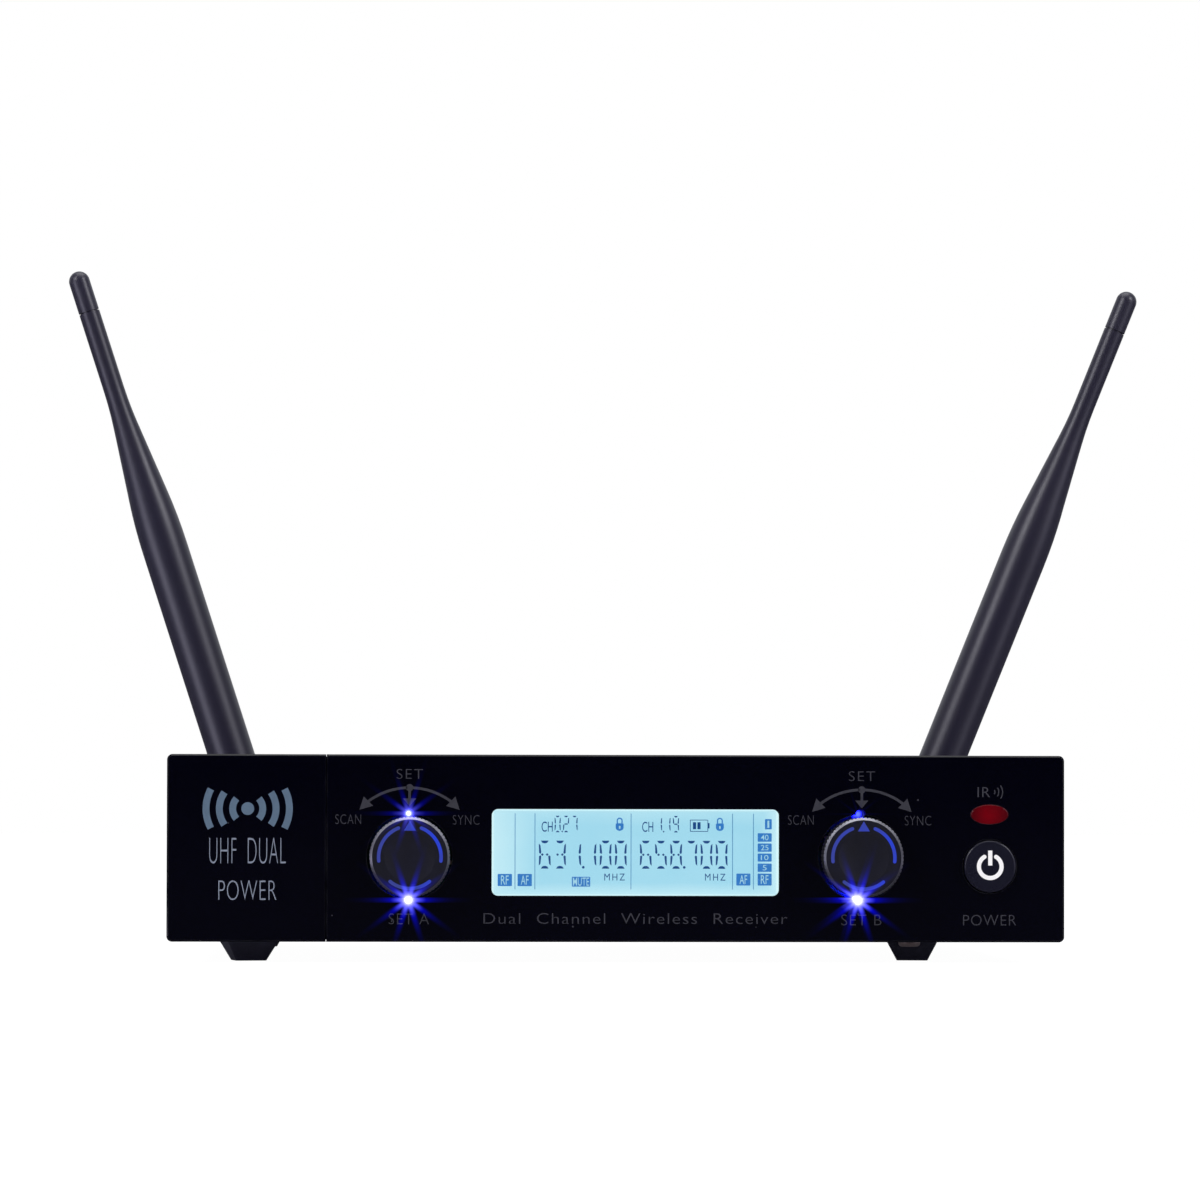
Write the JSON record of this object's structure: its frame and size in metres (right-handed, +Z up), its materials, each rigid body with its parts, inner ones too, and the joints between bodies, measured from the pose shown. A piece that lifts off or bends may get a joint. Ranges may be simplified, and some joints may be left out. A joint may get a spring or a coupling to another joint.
{
  "type": "wireless receiver unit",
  "caption": "Half-rack dual-channel wireless microphone receiver: black case, lit display, two push-turn knobs, power button and folding whip aerials.",
  "frame": {"origin": "on the desk, below the middle of the whole object's outline, aerials at rest", "axes": "+X to the right seen from the front, +Y from the front panel to the back, +Z up"},
  "size_m": [0.2836, 0.19, 0.1769],
  "materials": {
    "black_steel": "fine textured black powder coat",
    "black_acrylic": "gloss black acrylic",
    "black_plastic": "matte black moulding",
    "window": "clear, gloss",
    "display": "backlit display glass",
    "backlight": "diffusing white",
    "display_frame": "tinned sheet",
    "knob": "dark anodised, bright turned bevel",
    "inlay": "translucent blue-white",
    "shaft": "turned",
    "switch": "moulded",
    "contact": "gilt",
    "blue_light": "lit blue",
    "led": "moulded",
    "button": "semi-gloss",
    "icon": "lit white",
    "infrared": "dark red translucent",
    "board": "green solder mask",
    "screw": "zinc plated",
    "black_screw": "black zinc",
    "header": "nylon",
    "ribbon": "grey PVC",
    "tin": "tin plate",
    "heat_sink": "black anodised",
    "capacitor": "sleeved",
    "chip": "epoxy",
    "coax": "PVC",
    "connector": "black nylon",
    "silver_contact": "silver plated",
    "nickel": "nickel plated",
    "rubber": "matte",
    "copper_screw": "yellow-passivated",
    "antenna_rubber": "smooth satin rubber",
    "antenna_plastic": "satin black moulding"
  },
  "bodies": {
    "receiver_case": {"aerial_a_ring": "nickel", "aerial_b_ring": "nickel", "aerial_leads": "coax", "aerial_sockets": "nickel", "bezel_screws": "screw", "board_screws": "screw", "capacitors": "capacitor", "chips": "chip", "clinch_fittings": "tin", "cover_screws": "black_screw", "dc_socket": "connector", "display_backlight": "backlight", "display_frame": "display_frame", "display_glass": "display", "display_window": "window", "earth_screw": "copper_screw", "encoder_a": "switch", "encoder_b": "switch", "feet": "rubber", "foot_screws": "screw", "front_bezel": "black_plastic", "front_board": "board", "headers": "header", "heat_sink": "heat_sink", "indicator_leds": "led", "infrared_emitter": "led", "infrared_window": "infrared", "jack_socket": "connector", "light_pipes": "blue_light", "main_board": "board", "name_plate": "black_acrylic", "panel_overlay": "black_acrylic", "power_switch": "switch", "receiver_shields": "tin", "ribbon_cable": "ribbon", "socket_nuts": "nickel", "top_cover": "black_steel", "tray": "black_steel", "xlr_pins": "silver_contact", "xlr_screws": "black_screw", "xlr_shells": "connector"},
    "power_button": {"power_button": "button", "power_icon": "icon", "power_plunger": "switch"},
    "knob_a": {"knob_a": "knob", "knob_a_inlays": "inlay", "knob_a_shaft": "shaft"},
    "switch_a_rotor": {"encoder_a_rotor": "contact"},
    "aerial_a_base": {"aerial_a_plug": "antenna_plastic", "aerial_a_hinge_pin": "screw"},
    "aerial_a_whip": {"aerial_a_whip": "antenna_rubber", "aerial_a_tip": "antenna_plastic"},
    "knob_b": {"knob_b": "knob", "knob_b_inlays": "inlay", "knob_b_shaft": "shaft"},
    "switch_b_rotor": {"encoder_b_rotor": "contact"},
    "aerial_b_base": {"aerial_b_plug": "antenna_plastic", "aerial_b_hinge_pin": "screw"},
    "aerial_b_whip": {"aerial_b_whip": "antenna_rubber", "aerial_b_tip": "antenna_plastic"}
  },
  "joints": [
    {"name": "aerial_a_swivel", "type": "hinge", "parent": "receiver_case", "child": "aerial_a_base", "pos_m": [-0.09118, 0.089, 0.02685], "axis": [0, 1, 0], "range_deg": [-72, 48]},
    {"name": "aerial_a_fold", "type": "hinge", "parent": "aerial_a_base", "child": "aerial_a_whip", "pos_m": [-0.09118, 0.089, 0.02685], "axis": [-0.9511, 0, -0.309], "range_deg": [0, 90]},
    {"name": "knob_a_turn", "type": "hinge", "parent": "receiver_case", "child": "switch_a_rotor", "pos_m": [-0.05358, -0.087, 0.02485], "axis": [0, 1, 0], "range_deg": [-45, 45], "stiffness_Nm_per_rad": 0.05},
    {"name": "knob_a_press", "type": "slide", "parent": "switch_a_rotor", "child": "knob_a", "axis": [0, 1, 0], "range_m": [0, 0.001], "stiffness_N_per_m": 2500},
    {"name": "aerial_b_swivel", "type": "hinge", "parent": "receiver_case", "child": "aerial_b_base", "pos_m": [0.08102, 0.089, 0.02685], "axis": [0, 1, 0], "range_deg": [-52, 68]},
    {"name": "aerial_b_fold", "type": "hinge", "parent": "aerial_b_base", "child": "aerial_b_whip", "pos_m": [0.08102, 0.089, 0.02685], "axis": [-0.9272, 0, 0.3746], "range_deg": [0, 90]},
    {"name": "knob_b_turn", "type": "hinge", "parent": "receiver_case", "child": "switch_b_rotor", "pos_m": [0.05202, -0.087, 0.02485], "axis": [0, 1, 0], "range_deg": [-45, 45], "stiffness_Nm_per_rad": 0.05},
    {"name": "knob_b_press", "type": "slide", "parent": "switch_b_rotor", "child": "knob_b", "axis": [0, 1, 0], "range_m": [0, 0.001], "stiffness_N_per_m": 2500},
    {"name": "power_button_press", "type": "slide", "parent": "receiver_case", "child": "power_button", "axis": [0, 1, 0], "range_m": [0, 0.0012], "stiffness_N_per_m": 1500}
  ]
}
